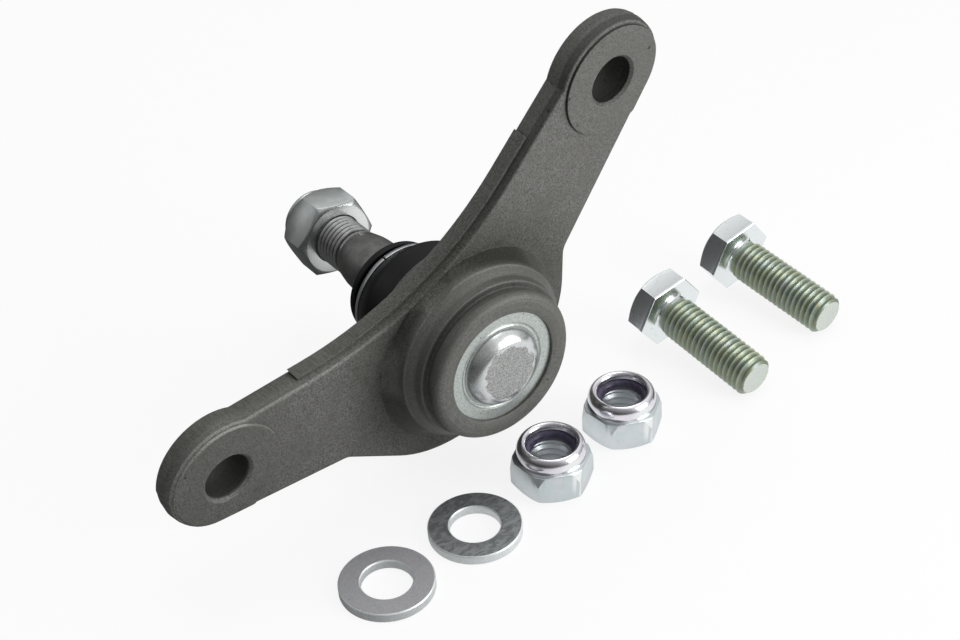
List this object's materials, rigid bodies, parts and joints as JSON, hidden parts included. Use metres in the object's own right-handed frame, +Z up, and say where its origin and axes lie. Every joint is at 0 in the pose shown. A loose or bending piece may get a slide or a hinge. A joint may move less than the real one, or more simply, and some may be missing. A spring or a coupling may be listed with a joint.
{
  "type": "suspension ball joint",
  "caption": "Two-armed forged ball joint with a swinging threaded stud, rubber boot, lock nut and a loose kit of bolts, lock nuts and washers.",
  "frame": {"origin": "centre of the ball", "axes": "+Y along the stud towards its nut, cover towards -Y, +Z up from the floor that the bracket and the kit stand on, +X towards the upper arm"},
  "size_m": [0.2023, 0.1142, 0.1116],
  "materials": {
    "forged_steel": "matt dark forged surface",
    "zinc_cover": "satin zinc",
    "seat_plastic": "matt",
    "stud_steel": "turned grey",
    "rubber_black": "matt",
    "bright_wire": "bright",
    "zinc_silver": "zinc plated",
    "zinc_yellow_green": "iridescent zinc plated",
    "nylon_violet": "satin",
    "washer_light": "matt zinc",
    "washer_dark": "mottled zinc"
  },
  "bodies": {
    "bracket": {"bracket_forging": "forged_steel", "cover_plate": "zinc_cover", "bearing_seat": "seat_plastic", "boot_lower": "rubber_black", "boot_clamp_ring": "bright_wire", "bolt_a": "zinc_yellow_green", "bolt_b": "zinc_yellow_green", "kit_nut_a": "zinc_silver", "kit_nut_a_insert": "nylon_violet", "kit_nut_b": "zinc_silver", "kit_nut_b_insert": "nylon_violet", "washer_a": "washer_light", "washer_b": "washer_dark"},
    "boot_middle": {"boot_upper": "rubber_black"},
    "boot_end": {"boot_split_ring": "bright_wire"},
    "stud": {"ball_stud": "stud_steel"},
    "nut_thread": {"stud_nut_insert": "nylon_violet"},
    "nut": {"stud_nut": "zinc_silver"}
  },
  "joints": [
    {"name": "swing_x", "type": "hinge", "parent": "bracket", "child": "boot_middle", "pos_m": [0, 0, 0], "axis": [1, 0, 0], "range_deg": [-18, 18], "deforming": ["boot_lower"]},
    {"name": "swing_z", "type": "hinge", "parent": "boot_middle", "child": "boot_end", "pos_m": [0, 0, 0], "axis": [0, 0, 1], "range_deg": [-18, 18], "deforming": ["boot_upper"]},
    {"name": "stud_spin", "type": "hinge", "parent": "boot_end", "child": "stud", "pos_m": [0, 0, 0], "axis": [0, 1, 0], "continuous": true},
    {"name": "nut_travel", "type": "slide", "parent": "stud", "child": "nut_thread", "axis": [0, 1, 0], "range_m": [-0.00826, 0.01201]},
    {"name": "nut_turn", "type": "hinge", "parent": "nut_thread", "child": "nut", "pos_m": [0, 0.0598, 0], "axis": [0, 1, 0], "range_deg": [-1980, 2880]}
  ],
  "couplings": [
    {"joint": "nut_travel", "follows": "nut_turn", "m_per_rad": 0.00023873}
  ]
}
